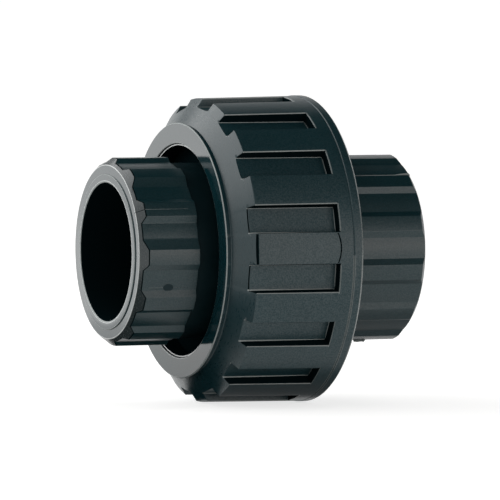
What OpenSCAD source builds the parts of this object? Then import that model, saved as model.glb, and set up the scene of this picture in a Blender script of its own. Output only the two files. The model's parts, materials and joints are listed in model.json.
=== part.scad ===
// Three-piece pipe union with plain cement sockets, an O-ring face seal and a coupling nut.
// The axis lies along X, the collar end points to -X and the threaded end to +X.
// The origin is on the axis, midway between the two mouths.

/* [Pipe] */
// Outside diameter of the pipe that is cemented into each socket
pipe_d = 32; // [25:1:40]
// Room on the diameter between the pipe and the socket bore
pipe_play = 0.2; // [0.1:0.05:0.4]
// Depth of each pipe socket, from the mouth to the pipe stop
socket_depth = 22; // [18:0.5:24]
// Height of the pipe stop inside the socket bore
stop_h = 2.6; // [1.5:0.1:4]

/* [Socket barrels] */
// Wall of a barrel under its grip flutes
barrel_wall = 5; // [4:0.25:7]
// Height of a grip land above the flutes
land_h = 0.95; // [0.5:0.05:1.5]
// Number of grip lands around a barrel
land_count = 12; // [8:1:16]
// Width of a land across its top
land_top_w = 3.6; // [2.5:0.1:4.5]
// Run of a land's sloping side
land_side_w = 1.3; // [0.6:0.1:2]
// Lead-in chamfer at each bore's mouth
bore_lead = 0.3; // [0.2:0.1:1.2]
// Width of the raised ring around each bore
lip_w = 2.1; // [1.4:0.1:3]
// Height of that raised ring
lip_h = 0.3; // [0.1:0.05:0.6]
// Drop of each mouth's outer chamfer
mouth_drop = 1.7; // [1.2:0.05:2.5]

/* [Collar end] */
// Length of the near mouth's outer chamfer
near_mouth_run = 1.9; // [1:0.1:3]
// How far the collar end stands out of the nut's front face
near_stick = 18.2; // [16:0.1:24]
// Length of the near grip, from the mouth
near_grip_len = 14.9; // [10:0.1:15.5]
// Turn of the near grip about the axis, in degrees
near_grip_turn = 1.2; // [-15:0.1:15]
// How far the plain neck lies under the flutes
neck_step = 0.5; // [0.2:0.1:1.5]
// Width of the collar beyond the nut's front opening
collar_seat_w = 2.45; // [1.5:0.05:4]
// Thickness of the collar
collar_t = 5; // [4:0.1:7]
// Small chamfer on the collar's edges
collar_edge = 0.5; // [0.2:0.1:1]

/* [Threaded end] */
// How far the threaded end stands out of the nut's rear face
far_stick = 22.9; // [18:0.1:28]
// How much larger the far barrel's radius is than the near one's
far_grow = 0.25; // [0:0.05:0.6]
// Length of the far mouth's outer chamfer
far_mouth_run = 1.2; // [0.8:0.1:3]
// Turn of the far grip about the axis, in degrees
far_grip_turn = 13.2; // [-15:0.1:15]
// How far the thread hub stops short of the nut's rear face
hub_inset = 1.5; // [0.5:0.1:3]
// Wall of the hub under the thread, outside its cored-out recess
hub_wall = 3; // [2.2:0.1:4]
// Depth of that cored-out recess, from the hub's rear face
core_depth = 11; // [6:0.5:13]

/* [Seal] */
// Section diameter of the O-ring
ring_d = 3.5; // [2.6:0.1:4]
// Height of the O-ring when it is squeezed between the faces
ring_h = 3; // [2.3:0.1:3.4]
// Wall between the flow passage and the O-ring's groove
groove_wall = 3.2; // [2:0.1:4]
// Room on each side of the O-ring in its groove
groove_room = 0.45; // [0.2:0.05:0.8]
// Gap between the O-ring and the two faces that squeeze it
ring_gap = 0.05; // [0.02:0.01:0.1]
// Gap between the two sealing faces when the nut is tight
face_gap = 0.2; // [0.1:0.05:0.4]

/* [Thread] */
// Axial advance of the thread for one turn
pitch = 4; // [3:0.25:5]
// Height of a thread ridge
thread_h = 1.8; // [1.2:0.1:2.2]
// Slope of a thread flank, from the radial direction, in degrees
flank = 15; // [5:1:25]
// Radial gap between a ridge's crest and the opposite root
thread_gap = 0.4; // [0.3:0.05:0.6]
// Axial gap between facing flanks
flank_gap = 0.3; // [0.2:0.05:0.5]
// Plain lead in front of the outer thread
thread_lead = 1; // [0.5:0.1:2]
// Flat facets in one turn of the ridge
ridge_steps = 36; // [24:4:48]

/* [Nut] */
// Length of the nut
nut_len = 31.9; // [30:0.1:36]
// Radial gap between the grip lands and the nut's front opening
nut_gap = 2.7; // [1:0.1:4]
// Thickness of the front flange that pulls the collar
flange_t = 4.6; // [3.5:0.1:6]
// Gap between the flange and the collar
seat_gap = 0.2; // [0.1:0.05:0.4]
// Radial gap between the collar and the inner thread's crests
collar_gap = 0.4; // [0.3:0.05:0.8]
// Wall of the nut between the thread root and the pocket floors
nut_wall = 4.2; // [3.5:0.1:6]
// Depth of the grip pockets at the front of the nut
pocket_depth = 2.15; // [1:0.05:2.5]
// Number of grip pockets
pocket_count = 16; // [10:1:18]
// Width of a pocket at its top
pocket_w = 6.6; // [4:0.1:8]
// Run of a pocket's side wall
pocket_side = 0.35; // [0.1:0.05:0.8]
// Run of a pocket's rear wall
pocket_rear = 0.2; // [0.1:0.05:1]
// Solid band between the pockets and the rear rim
band_w = 3.6; // [2:0.1:6]
// Turn of the pockets about the axis, in degrees
pocket_turn = 8.55; // [-12:0.05:12]
// Width of the nut's flat front face
face_w = 5.3; // [3:0.1:7]
// Length of the short neck behind the front face
front_neck_len = 1.35; // [0.8:0.05:2.5]
// How far that neck tapers down towards the cone
front_dip = 0.4; // [0.1:0.05:0.8]
// Length of the cone between the neck and the grip
cone_len = 4.2; // [2.5:0.1:6]
// Round-off on the front face's outer edge
front_edge = 0.3; // [0.2:0.05:0.8]
// Taper of the grip, in degrees
grip_draft = 0.85; // [0:0.05:1.5]
// Width of the rear rim
rim_w = 2.2; // [1:0.1:4]
// How far the rear rim stands above the grip
rim_h = 0.12; // [0.05:0.01:0.4]
// Depth and half width of the fine groove in front of the rim
rim_groove = 0.25; // [0.1:0.05:0.5]
// Chamfer on the nut's rear and opening edges
nut_edge = 0.5; // [0.2:0.1:0.8]
// Chamfer at the thread's open end
thread_mouth = 1; // [0.5:0.1:1.5]
// Depth of the plain flat on one grip land
flat_depth = 0.3; // [0.1:0.05:0.6]

/* [Hidden] */
$fn = 96;
PLASTIC = "#3f494c";
NUT_PLASTIC = "#434d50";
RUBBER = "#1b1b1c";
// Overlap that joins solids and carries cuts clear of a face
lap = 1;
// How deep a thread ridge is rooted in its cylinder
ridge_root = 0.6;

// Radii, from the pipe outwards
bore_r = (pipe_d + pipe_play) / 2;
flow_r = bore_r - stop_h;
flute_r = bore_r + barrel_wall;
land_r = flute_r + land_h;
lip_r = bore_r + lip_w;
mouth_r = land_r - mouth_drop;
neck_r = flute_r - neck_step;
opening_r = land_r + nut_gap;
collar_r = opening_r + collar_seat_w;
inner_crest_r = collar_r + collar_gap;
inner_root_r = inner_crest_r + thread_h;
hub_r = inner_crest_r - thread_gap;
outer_crest_r = hub_r + thread_h;
floor_r = inner_root_r + nut_wall;
grip_r = floor_r + pocket_depth;
face_r = opening_r + face_w;

// Places along the axis
total_len = near_stick + nut_len + far_stick;
near_x = -total_len / 2;
far_x = total_len / 2;
nut_front_x = near_x + near_stick;
nut_rear_x = nut_front_x + nut_len;
flange_x = nut_front_x + flange_t;
collar_back_x = flange_x + seat_gap;
collar_face_x = collar_back_x + collar_t;
seal_x = collar_face_x + face_gap;
hub_rear_x = nut_rear_x - hub_inset;
cone_x = nut_front_x + front_neck_len;
grip_x = cone_x + cone_len;
rim_x = nut_rear_x - rim_w;
pocket_end_x = rim_x - band_w;
rear_grip_r = grip_r + (rim_x - grip_x) * tan(grip_draft);
rim_r = rear_grip_r + rim_h;

// Thread: the two ridges share one helix, half a pitch apart
mid_w = pitch / 2 - flank_gap;
flank_run = thread_h * tan(flank);
crest_w = mid_w - flank_run + thread_gap * tan(flank);
outer_start_x = seal_x + thread_lead + pitch / 4;
outer_end_x = hub_rear_x - thread_lead - pitch / 4;
inner_start_x = seal_x + pitch / 4;
inner_end_x = nut_rear_x - thread_mouth - pitch / 4;

// The O-ring's groove in the threaded end's face
groove_in_r = flow_r + groove_wall;
ring_mid_r = groove_in_r + groove_room + ring_d / 2;
groove_out_r = ring_mid_r + ring_d / 2 + groove_room;
groove_depth = ring_h + 2 * ring_gap - face_gap;

// Turns local Z onto the union's X axis
module on_axis() {
    rotate([0, 90, 0]) children();
}

// Solid of revolution from [radius, place along the axis] points
module turned(points) {
    rotate_extrude() polygon(points);
}

// Half outline of a barrel from its chamfered mouth to its other end, its radius larger by grow
function barrel_outline(mouth_x, end_x, run, grow) =
    let (way = sign(end_x - mouth_x))
    [[0, mouth_x], [lip_r, mouth_x], [lip_r, mouth_x + way * lip_h],
     [mouth_r + grow, mouth_x + way * lip_h], [land_r + grow, mouth_x + way * (lip_h + run)],
     [land_r + grow, end_x], [0, end_x]];

// Straight bore between two places along the axis
module bore(r, from_x, to_x) {
    translate([0, 0, from_x]) cylinder(r = r, h = to_x - from_x);
}

// Cross-section of a barrel: flutes with flat-sided lands around them
module grip_section(turn, grow) {
    foot_w = land_top_w + 2 * land_side_w;
    foot_r = flute_r + grow;
    top_r = land_r + grow;
    root_r = foot_r - lap;
    circle(r = foot_r);
    intersection() {
        circle(r = top_r);
        for (i = [0 : land_count - 1])
            rotate(turn + i * 360 / land_count)
                polygon([[root_r, -foot_w / 2], [foot_r, -foot_w / 2],
                         [top_r, -land_top_w / 2], [top_r + lap, -land_top_w / 2],
                         [top_r + lap, land_top_w / 2], [top_r, land_top_w / 2],
                         [foot_r, foot_w / 2], [root_r, foot_w / 2]]);
    }
}

// Length of fluted barrel between two places along the axis, its radius larger by grow
module grip(turn, from_x, to_x, grow) {
    translate([0, 0, from_x]) linear_extrude(to_x - from_x) grip_section(turn, grow);
}

// Bore of a cement socket with its lead-in, drawn with the mouth at z = 0 and the pipe stop above it
module socket_bore() {
    bore(bore_r, -lap, socket_depth);
    turned([[0, -lap], [bore_r + bore_lead + lap, -lap], [bore_r, bore_lead], [0, bore_lead]]);
}

// One ring of the ridge's section at a turn of t degrees about the helix
function ridge_ring(t, section) =
    [for (p = section) [p[0] * cos(t), p[0] * sin(t), p[1] + pitch * t / 360]];

// Helical thread ridge whose middle runs from one place along the axis to another
module thread_ridge(base_r, tip_r, base_w, tip_w, phase_x, from_x, to_x) {
    first = (from_x - phase_x) / pitch * 360;
    last = (to_x - phase_x) / pitch * 360;
    n = ceil((last - first) / 360 * ridge_steps);
    side = tip_r > base_r ? 1 : -1;
    section = [[base_r, -side * base_w / 2], [tip_r, -side * tip_w / 2],
               [tip_r, side * tip_w / 2], [base_r, side * base_w / 2]];
    rings = [for (i = [0 : n]) each ridge_ring(first + (last - first) * i / n, section)];
    sides = [for (i = [0 : n - 1], k = [0 : 3])
                let (a = 4 * i + k, b = 4 * i + (k + 1) % 4)
                each [[a, b, a + 4], [b, b + 4, a + 4]]];
    ends = [[2, 1, 0], [3, 2, 0], [4 * n, 4 * n + 1, 4 * n + 2], [4 * n, 4 * n + 2, 4 * n + 3]];
    translate([0, 0, phase_x]) polyhedron(rings, concat(sides, ends));
}

// Plain socket with the collar that the nut pulls on
module socket_end() {
    grip_end_x = near_x + near_grip_len;
    color(PLASTIC) on_axis() difference() {
        union() {
            intersection() {
                grip(near_grip_turn, near_x, grip_end_x, 0);
                turned(barrel_outline(near_x, grip_end_x, near_mouth_run, 0));
            }
            turned([[0, grip_end_x - lap], [neck_r, grip_end_x - lap], [neck_r, collar_back_x],
                    [collar_r - collar_edge, collar_back_x], [collar_r, collar_back_x + collar_edge],
                    [collar_r, collar_face_x - collar_edge], [collar_r - collar_edge, collar_face_x],
                    [0, collar_face_x]]);
        }
        translate([0, 0, near_x]) socket_bore();
        bore(flow_r, near_x, collar_face_x + lap);
    }
}

// Plain socket with the outer thread, the sealing face and the O-ring's groove
module threaded_end() {
    core_out_r = hub_r - hub_wall;
    color(PLASTIC) on_axis() difference() {
        union() {
            intersection() {
                grip(far_grip_turn, hub_rear_x - core_depth - lap, far_x, far_grow);
                turned(barrel_outline(far_x, seal_x, far_mouth_run, far_grow));
            }
            difference() {
                turned([[0, seal_x], [hub_r - nut_edge, seal_x], [hub_r, seal_x + nut_edge],
                        [hub_r, hub_rear_x], [0, hub_rear_x]]);
                bore(core_out_r, hub_rear_x - core_depth, hub_rear_x + lap);
            }
            thread_ridge(hub_r - ridge_root, outer_crest_r,
                         crest_w + 2 * (flank_run + ridge_root * tan(flank)), crest_w,
                         seal_x, outer_start_x, outer_end_x);
        }
        translate([0, 0, far_x]) mirror([0, 0, 1]) socket_bore();
        bore(flow_r, seal_x - lap, far_x);
        turned([[groove_in_r, seal_x - lap], [groove_out_r, seal_x - lap],
                [groove_out_r, seal_x + groove_depth], [groove_in_r, seal_x + groove_depth]]);
    }
}

// Cutter for one grip pocket, open through the front cone
module pocket() {
    start_x = nut_front_x;
    floor_w = pocket_w - 2 * pocket_side;
    top_r = rim_r + lap;
    spread = pocket_side * (top_r - floor_r) / pocket_depth;
    reach = pocket_rear * (top_r - floor_r) / pocket_depth;
    floor_end_x = pocket_end_x - pocket_rear;
    intersection() {
        translate([0, 0, start_x])
            linear_extrude(nut_len)
                polygon([[floor_r, -floor_w / 2], [top_r, -floor_w / 2 - spread],
                         [top_r, floor_w / 2 + spread], [floor_r, floor_w / 2]]);
        rotate([90, 0, 0])
            linear_extrude(2 * pocket_w, center = true)
                polygon([[floor_r, start_x], [top_r, start_x],
                         [top_r, floor_end_x + reach], [floor_r, floor_end_x]]);
    }
}

// Cutter for the plain flat on one land, deepest at the cone and running out before the band
module land_flat() {
    out_x = pocket_end_x + flat_depth;
    out_r = grip_r + (out_x - grip_x) * tan(grip_draft);
    rotate([90, 0, 0])
        linear_extrude(2 * pocket_w, center = true)
            polygon([[grip_r - flat_depth, grip_x], [out_r, out_x], [out_r + lap, out_x],
                     [out_r + lap, grip_x]]);
}

// Coupling nut with its front flange, inner thread and grip pockets
module union_nut() {
    step = 360 / pocket_count;
    color(NUT_PLASTIC) on_axis() {
        difference() {
            turned([[opening_r, nut_front_x + nut_edge], [opening_r + nut_edge, nut_front_x],
                    [face_r - front_edge, nut_front_x], [face_r, nut_front_x + front_edge],
                    [face_r - front_dip, cone_x], [grip_r, grip_x],
                    [rear_grip_r, rim_x - 2 * rim_groove],
                    [rear_grip_r - rim_groove, rim_x - rim_groove], [rim_r, rim_x],
                    [rim_r, nut_rear_x - nut_edge], [rim_r - nut_edge, nut_rear_x],
                    [inner_root_r + thread_mouth, nut_rear_x],
                    [inner_root_r, nut_rear_x - thread_mouth], [inner_root_r, flange_x],
                    [opening_r, flange_x]]);
            for (i = [0 : pocket_count - 1])
                rotate(pocket_turn + i * step) pocket();
            rotate(pocket_turn + step * (floor(pocket_count * 3 / 4) - 1 / 2)) land_flat();
        }
        thread_ridge(inner_root_r + ridge_root, inner_crest_r,
                     crest_w + 2 * (flank_run + ridge_root * tan(flank)), crest_w,
                     seal_x + pitch / 2, inner_start_x, inner_end_x);
    }
}

// O-ring, drawn as squeezed between the two sealing faces
module o_ring() {
    ring_x = seal_x + groove_depth - ring_gap - ring_h / 2;
    color(RUBBER) on_axis() rotate_extrude() intersection() {
        translate([ring_mid_r, ring_x]) circle(d = ring_d);
        translate([ring_mid_r, ring_x]) square([ring_d, ring_h], center = true);
    }
}

socket_end();
threaded_end();
union_nut();
o_ring();
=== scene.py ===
# %% [markdown]
# # A plastic pipe union
#
# The object is a cement-socket pipe union moulded in dark grey PVC-U. Two fluted sockets face each other,
# and a big nut with sixteen grip pockets draws them together on a rubber ring.
# The solids of the part come in as a fixed frame. This lesson dresses them: every piece is rebuilt as a
# clean mesh of quads, with softened edges and a moulded finish, at exactly the place that the frame gives.

# %% Load the frame
import json
import math

import bmesh
import bpy
from mathutils import Matrix, Vector


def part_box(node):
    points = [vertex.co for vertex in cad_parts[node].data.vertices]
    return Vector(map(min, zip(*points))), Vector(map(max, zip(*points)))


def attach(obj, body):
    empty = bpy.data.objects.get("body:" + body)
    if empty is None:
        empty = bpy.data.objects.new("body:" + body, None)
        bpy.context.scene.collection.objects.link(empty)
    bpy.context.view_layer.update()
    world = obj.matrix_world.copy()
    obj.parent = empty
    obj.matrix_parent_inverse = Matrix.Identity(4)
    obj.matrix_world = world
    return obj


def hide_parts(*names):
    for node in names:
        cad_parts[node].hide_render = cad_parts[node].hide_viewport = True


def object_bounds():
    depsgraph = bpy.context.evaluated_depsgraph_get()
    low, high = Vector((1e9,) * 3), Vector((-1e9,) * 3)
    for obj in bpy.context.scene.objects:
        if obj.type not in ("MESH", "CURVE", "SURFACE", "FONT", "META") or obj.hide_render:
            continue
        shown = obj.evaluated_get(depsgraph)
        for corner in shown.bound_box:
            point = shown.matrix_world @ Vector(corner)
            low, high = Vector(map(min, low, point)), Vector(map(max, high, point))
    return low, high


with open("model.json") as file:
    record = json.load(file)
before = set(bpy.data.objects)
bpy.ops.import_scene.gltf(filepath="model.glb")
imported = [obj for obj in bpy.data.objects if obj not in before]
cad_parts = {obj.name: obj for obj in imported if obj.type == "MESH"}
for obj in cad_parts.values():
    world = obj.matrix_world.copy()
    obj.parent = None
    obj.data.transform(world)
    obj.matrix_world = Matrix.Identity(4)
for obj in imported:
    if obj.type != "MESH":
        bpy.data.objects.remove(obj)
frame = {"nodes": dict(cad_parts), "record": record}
cad_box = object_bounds()
MM = 0.001
print("solids:", sorted(frame["nodes"]), "box in mm:", [[round(c / MM, 2) for c in p] for p in cad_box])

# %% [markdown]
# ## Sizes
#
# All sizes below are millimetres. What the frame knows is read from it: where each piece starts and ends
# along the axis, and how far out it reaches. The rest are the moulding's own small features, named where
# they are first needed.
#
# Places around the axis are angles in degrees: zero faces the front, and ninety is the top.

# %% Places that the frame gives
def span(node):
    """Lowest place along the axis, highest place along the axis and outer radius of a solid, in mm."""
    low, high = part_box(node)
    return low.x / MM, high.x / MM, high.z / MM


near_x, collar_face_x, collar_r = span("socket_end")
seal_x, far_x, _ = span("threaded_end")
nut_front_x, nut_rear_x, rim_r = span("union_nut")
ring_front_x, ring_rear_x, ring_out_r = span("o_ring")
bore_r = frame["record"]["mounts"][0]["dims"]["r_mm"]
print("mouths at", round(near_x, 2), "and", round(far_x, 2), "nut from", round(nut_front_x, 2), "to",
      round(nut_rear_x, 2))

# %% Radii of the barrels
STOP_H = 2.6  # the pipe stop's height
BARREL_WALL = 5.0  # from the bore to the bottom of the flutes
LAND_H = 0.95

flow_r = bore_r - STOP_H
flute_r = bore_r + BARREL_WALL
land_r = flute_r + LAND_H
print("radii: passage", round(flow_r, 2), "flutes", round(flute_r, 2), "lands", round(land_r, 2))

# %% [markdown]
# ## Small helpers
#
# A round moulding with flutes or pockets repeats itself around its axis. So each one is drawn once as a
# *sector*: a row of meridian outlines, one for each angle, that all have the same number of points. Joining
# neighbouring outlines gives clean quads, also where a wall rises from a pocket's floor, because the points
# still match. Cutting sixteen pockets out of a ring with Booleans would leave long thin faces instead.
#
# Geometry Nodes then repeat the sector around the axis and weld the seams. The node tree has named inputs,
# so the same tree makes the nut, both socket ends and the seal.

# %% Points and angles
def on_axis(x, r, degrees):
    """Point at a place along the axis, a radius and an angle, in metres."""
    a = math.radians(degrees)
    return Vector((x, -r * math.cos(a), r * math.sin(a))) * MM


def off_axis(point):
    """Place along the axis, radius and angle of a point in metres: the way back from on_axis."""
    x, y, z = point / MM
    return x, math.hypot(y, z), math.degrees(math.atan2(z, -y))


def turned(angle, start):
    """Angle as it is counted from a start, between -180 and 180."""
    return (angle - start + 180) % 360 - 180


def spread(start, end, count):
    """Evenly spread angles from start to end."""
    return [start + (end - start) * i / count for i in range(count + 1)]


# %% Meshes
WELD = 0.01 * MM


def piece_from(name, bm):
    """Object made from a bmesh."""
    mesh = bpy.data.meshes.new(name)
    bm.to_mesh(mesh)
    bm.free()
    piece = bpy.data.objects.new(name, mesh)
    bpy.context.scene.collection.objects.link(piece)
    return piece


def plain_mesh(piece):
    """Replaces a piece's mesh by its evaluated one and removes its modifiers."""
    evaluated = piece.evaluated_get(bpy.context.evaluated_depsgraph_get())
    mesh = bpy.data.meshes.new_from_object(evaluated)
    piece.modifiers.clear()
    piece.data = mesh
    mesh.name = piece.name


def join(bm, rows):
    """Quads between neighbouring rows, each a closed loop of points."""
    for left, right in zip(rows, rows[1:]):
        for i in range(len(left)):
            j = (i + 1) % len(left)
            bm.faces.new((left[i], left[j], right[j], right[i]))


def sector(name, columns):
    """One sector of a ring: columns are (angle, closed outline of (x, radius) points)."""
    bm = bmesh.new()
    join(bm, [[bm.verts.new(on_axis(x, r, angle)) for x, r in outline] for angle, outline in columns])
    return piece_from(name, bm)


def close_up(piece):
    """Welds the seams, turns all faces outwards and says whether the mesh is closed."""
    bm = bmesh.new()
    bm.from_mesh(piece.data)
    bmesh.ops.remove_doubles(bm, verts=bm.verts, dist=WELD)
    bmesh.ops.recalc_face_normals(bm, faces=bm.faces)
    for face in bm.faces:
        face.smooth = True
    open_edges = sum(1 for e in bm.edges if not e.is_manifold)
    bm.to_mesh(piece.data)
    bm.free()
    print(piece.name, len(piece.data.polygons), "faces,", open_edges, "open edges")


# %% Nodes
def feed(tree, node, links):
    """Feeds a node's inputs, each from a node's first output, from another socket or with a constant."""
    for key, source in links.items():
        if isinstance(source, bpy.types.Node):
            source = source.outputs[0]
        if isinstance(source, bpy.types.NodeSocket):
            tree.links.new(source, node.inputs[key])
        else:
            node.inputs[key].default_value = source


def add(tree, kind, links=None, **settings):
    """Adds a node with its settings and what feeds its inputs."""
    node = tree.nodes.new(kind)
    for key, value in settings.items():
        setattr(node, key, value)
    feed(tree, node, links or {})
    return node


def new_tree(name, inputs):
    """Geometry Nodes tree with named inputs: returns it, what comes in, and the inputs' identifiers."""
    tree = bpy.data.node_groups.new(name, "GeometryNodeTree")
    ids = {}
    for key, kind in inputs.items():
        ids[key] = tree.interface.new_socket(key, in_out="INPUT", socket_type=kind).identifier
    tree.interface.new_socket("Result", in_out="OUTPUT", socket_type="NodeSocketGeometry")
    return tree, add(tree, "NodeGroupInput").outputs, ids


def run_tree(piece, tree, ids, values):
    """Runs a tree on a piece and turns the result into its plain mesh."""
    modifier = piece.modifiers.new(tree.name, "NODES")
    modifier.node_group = tree
    for key, value in values.items():
        modifier[ids[key]] = value
    plain_mesh(piece)


# %% The tree that repeats a sector around the axis
ring_tree, given, RING_IDS = new_tree("ring_of_sectors", {
    "Sector": "NodeSocketGeometry", "Copies": "NodeSocketInt", "Weld": "NodeSocketFloat",
    "Finish": "NodeSocketMaterial"})
points = add(ring_tree, "GeometryNodePoints", {"Count": given["Copies"]})
index = add(ring_tree, "GeometryNodeInputIndex")
step = add(ring_tree, "ShaderNodeMath", {0: math.tau, 1: given["Copies"]}, operation="DIVIDE")
turn = add(ring_tree, "ShaderNodeMath", {0: index, 1: step}, operation="MULTIPLY")
about_x = add(ring_tree, "ShaderNodeCombineXYZ", {"X": turn})
rotation = add(ring_tree, "FunctionNodeEulerToRotation", {"Euler": about_x})
copies = add(ring_tree, "GeometryNodeInstanceOnPoints", {
    "Points": points, "Instance": given["Sector"], "Rotation": rotation})
real = add(ring_tree, "GeometryNodeRealizeInstances", {"Geometry": copies})
welded = add(ring_tree, "GeometryNodeMergeByDistance", {"Geometry": real, "Distance": given["Weld"]})
finished = add(ring_tree, "GeometryNodeSetMaterial", {"Geometry": welded, "Material": given["Finish"]})
add(ring_tree, "NodeGroupOutput", {"Result": finished})
print("ring tree has", len(ring_tree.nodes), "nodes")

# %% [markdown]
# ## Finishes
#
# Dark grey PVC-U is nearly black in itself, with a breath of blue-green. What shows as grey on the moulding
# is its skin, which copies the steel of the mould:
#
# - spark-eroded steel leaves a fine grain that spreads every highlight, on the grips;
# - turned steel leaves fine rings that follow the axis, glossy on the flat faces and duller on the cones;
# - bores, recesses, the walls of pockets near the front and the neck are painted dark as shade, on a plain
#   and dull skin;
# - pale lines on edges are painted highlights, from grey over pale to nearly white, and the collar end's
#   paler chamfer is painted sheen.
#
# A picture wrapped round the part would stretch and show a seam, so the patterns are noise in object
# coordinates, with sizes in millimetres.

# %% Colours, and the plastic that all finishes share
PVC_IOR = 1.53
FLOW_MM = 16.0
NOISE_LOW, NOISE_HIGH = 0.3, 0.7  # most of a noise lies between these


def linear(hex_colour):
    """Linear RGBA colour of an sRGB hex value."""
    channels = [int(hex_colour[i:i + 2], 16) / 255 for i in (1, 3, 5)]
    return [c / 12.92 if c <= 0.04045 else ((c + 0.055) / 1.055) ** 2.4 for c in channels] + [1.0]


def per_metre(size_mm):
    """Scale of a texture whose features are this size."""
    return 1 / (size_mm * MM)


def new_material(name):
    """Material with nodes, its tree and its shader."""
    material = bpy.data.materials.new(name)
    material.use_nodes = True
    return material, material.node_tree, material.node_tree.nodes["Principled BSDF"]


def pvc(name, colour, bloom):
    """Plain PVC-U: slow flow marks of the melt shift its colour a little."""
    material, tree, shader = new_material(name)
    place = add(tree, "ShaderNodeTexCoord").outputs["Object"]
    flow = add(tree, "ShaderNodeTexNoise", {
        "Vector": place, "Scale": per_metre(FLOW_MM), "Detail": 3.0, "Distortion": 0.6})
    tint = add(tree, "ShaderNodeMix", {
        "Factor": flow, "A": linear(colour), "B": linear(bloom)}, data_type="RGBA")
    feed(tree, shader, {"IOR": PVC_IOR, "Base Color": tint.outputs["Result"]})
    return material, tree, shader, place


def relief(tree, shader, height, depth_mm, smooth, rough):
    """Gives a finish its bump, and a roughness that follows the same pattern."""
    bump = add(tree, "ShaderNodeBump", {"Strength": 1.0, "Distance": depth_mm * MM, "Height": height})
    spread_out = add(tree, "ShaderNodeMapRange", {
        "Value": height, "From Min": NOISE_LOW, "From Max": NOISE_HIGH, "To Min": smooth, "To Max": rough})
    feed(tree, shader, {"Normal": bump, "Roughness": spread_out})


# %% The grain of spark-eroded steel
GRAIN_MM, GRAIN_DEPTH_MM = 0.34, 0.03
PIT_LOW, PIT_HIGH = 0.35, 0.65  # noise values of a pit and of a peak
MID_SHINE = 0.5  # specular level at which the index of refraction alone sets the shine


def grained_pvc(name, colour, bloom, smooth, rough, pitting):
    """Spark-eroded grain, a little coarser than the real 0.1 mm so that it shows; its pits shine less."""
    material, tree, shader, place = pvc(name, colour, bloom)
    grain = add(tree, "ShaderNodeTexNoise", {
        "Vector": place, "Scale": per_metre(GRAIN_MM), "Detail": 2.0, "Roughness": 0.6})
    relief(tree, shader, grain, GRAIN_DEPTH_MM, smooth, rough)
    pits = add(tree, "ShaderNodeMapRange", {
        "Value": grain, "From Min": PIT_LOW, "From Max": PIT_HIGH,
        "To Min": MID_SHINE - pitting, "To Max": MID_SHINE + pitting})
    feed(tree, shader, {"Specular IOR Level": pits})
    return material


# The sockets' barrels have a satin sheen, and the nut's grip is duller with a visible sparkle.
satin = grained_pvc("satin_moulded_pvc", "#0b2c31", "#113439", smooth=0.28, rough=0.38, pitting=0.09)
grained = grained_pvc("grained_moulded_pvc", "#0c2d32", "#12353b", smooth=0.34, rough=0.48, pitting=0.18)
print("grained:", satin.name, grained.name)

# %% The rings of turned steel
RING_MM = 0.3
RING_DRIFT_MM = 9.0  # how fast the rings change for each radian


def turned_pvc(name, colour, bloom, depth_mm, smooth, rough):
    """Rings left by a turned mould: they follow the axis and the radius, and drift slowly round it."""
    material, tree, shader, place = pvc(name, colour, bloom)
    parts = add(tree, "ShaderNodeSeparateXYZ", {"Vector": place})
    across = add(tree, "ShaderNodeCombineXYZ", {"Y": parts.outputs["Y"], "Z": parts.outputs["Z"]})
    radius = add(tree, "ShaderNodeVectorMath", {0: across}, operation="LENGTH")
    angle = add(tree, "ShaderNodeMath", {0: parts.outputs["Z"], 1: parts.outputs["Y"]}, operation="ARCTAN2")
    drift = add(tree, "ShaderNodeMath", {0: angle, 1: RING_DRIFT_MM * MM}, operation="MULTIPLY")
    rings_at = add(tree, "ShaderNodeCombineXYZ", {
        "X": parts.outputs["X"], "Y": radius.outputs["Value"], "Z": drift})
    rings = add(tree, "ShaderNodeTexNoise", {
        "Vector": rings_at, "Scale": per_metre(RING_MM), "Detail": 2.0})
    relief(tree, shader, rings, depth_mm, smooth, rough)
    return material


# Flat faces mirror the lights as one sheet and cones show a soft band; the chamfer's paler grey is painted
# sheen.
faced = turned_pvc("glossy_turned_pvc", "#0d2c31", "#13343a", depth_mm=0.002, smooth=0.06, rough=0.11)
coned = turned_pvc("satin_turned_pvc", "#0d2c31", "#13343a", depth_mm=0.012, smooth=0.26, rough=0.36)
painted_sheen_finish = turned_pvc("worn_turned_pvc", "#30393b", "#3e4749", depth_mm=0.004, smooth=0.2, rough=0.3)
print("turned:", faced.name, coned.name, painted_sheen_finish.name)

# %% Painted shade, and the gate's dull skin
WAVE_MM, WAVE_DEPTH_MM = 4.0, 0.01


def recess_pvc(name, colour, bloom, shine):
    """Dull skin, slightly wavy, that hardly shines: dark painted shade in recesses and on the neck, and the
    gate's own dull trace.
    """
    material, tree, shader, place = pvc(name, colour, bloom)
    waves = add(tree, "ShaderNodeTexNoise", {"Vector": place, "Scale": per_metre(WAVE_MM), "Detail": 1.0})
    relief(tree, shader, waves, WAVE_DEPTH_MM, smooth=0.45, rough=0.55)
    feed(tree, shader, {"Specular IOR Level": shine})
    return material


# Bores and recesses are painted black as shade, the neck in the nut's opening is painted dark as the nut's
# shade
#  with a trace of shine, and the gate is its own dark dull spot.
painted_shade_finish = recess_pvc("recess_pvc", "#071518", "#0a191c", shine=0.0)
shaded = recess_pvc("shaded_pvc", "#081c20", "#0c2226", shine=0.1)
gate_skin = recess_pvc("gate_pvc", "#0a2227", "#0f292e", shine=0.2)
print("dull:", painted_shade_finish.name, shaded.name, gate_skin.name)

# %% Painted highlights on edges
SCUFF_MM, SCUFF_DEPTH_MM = 0.5, 0.02


def rubbed_pvc(name, colour, bloom, smooth, rough):
    """Painted highlight for an edge: paler than the skin, and patchy with noise in its roughness and bump."""
    material, tree, shader, place = pvc(name, colour, bloom)
    scuffs = add(tree, "ShaderNodeTexNoise", {"Vector": place, "Scale": per_metre(SCUFF_MM), "Detail": 3.0})
    relief(tree, shader, scuffs, SCUFF_DEPTH_MM, smooth, rough)
    return material
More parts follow.
